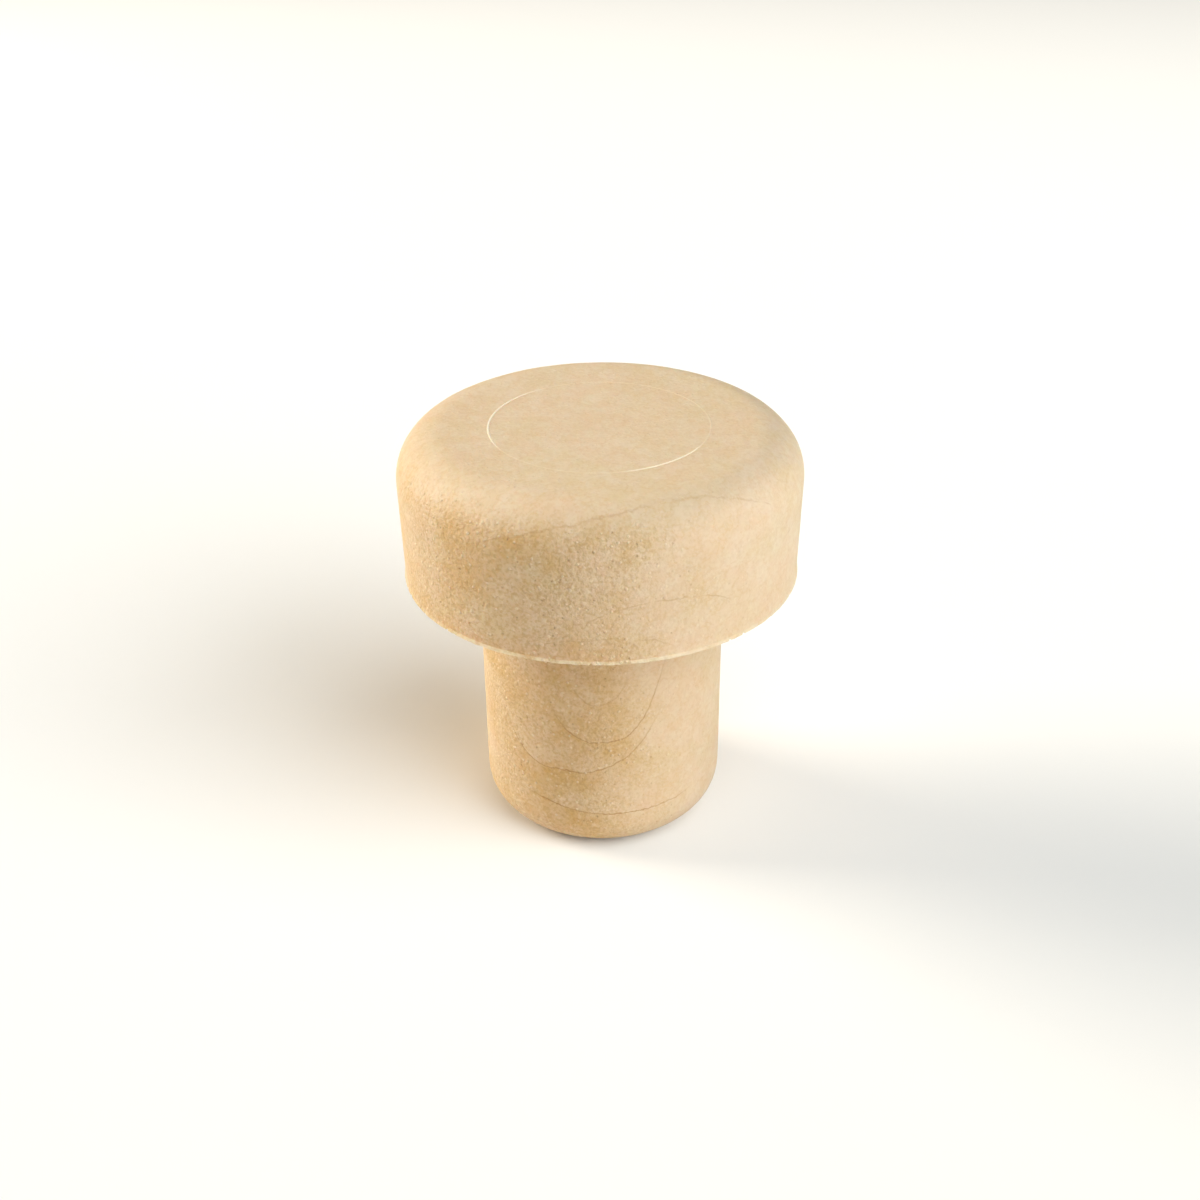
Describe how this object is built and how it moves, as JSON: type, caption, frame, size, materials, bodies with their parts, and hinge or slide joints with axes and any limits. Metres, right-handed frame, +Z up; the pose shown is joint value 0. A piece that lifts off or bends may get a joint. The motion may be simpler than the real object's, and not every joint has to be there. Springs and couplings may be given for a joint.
{
  "type": "synthetic wine cork",
  "caption": "T-shaped one-piece synthetic bottle stopper: a wide round head with a soft top edge on a plain cylindrical shank that plugs the neck.",
  "frame": {"origin": "middle of the flat foot of the shank, on the surface the stopper stands on", "axes": "+Z up along the stopper's axis, from the shank's foot to the head; the stopper is round, and -Y faces the viewer"},
  "size_m": [0.0314, 0.0312, 0.0338],
  "materials": {
    "cork_foam": "matt foamed skin, blond with fine brown wood-like veins"
  },
  "bodies": {
    "root": {"stopper": "cork_foam"}
  },
  "joints": []
}
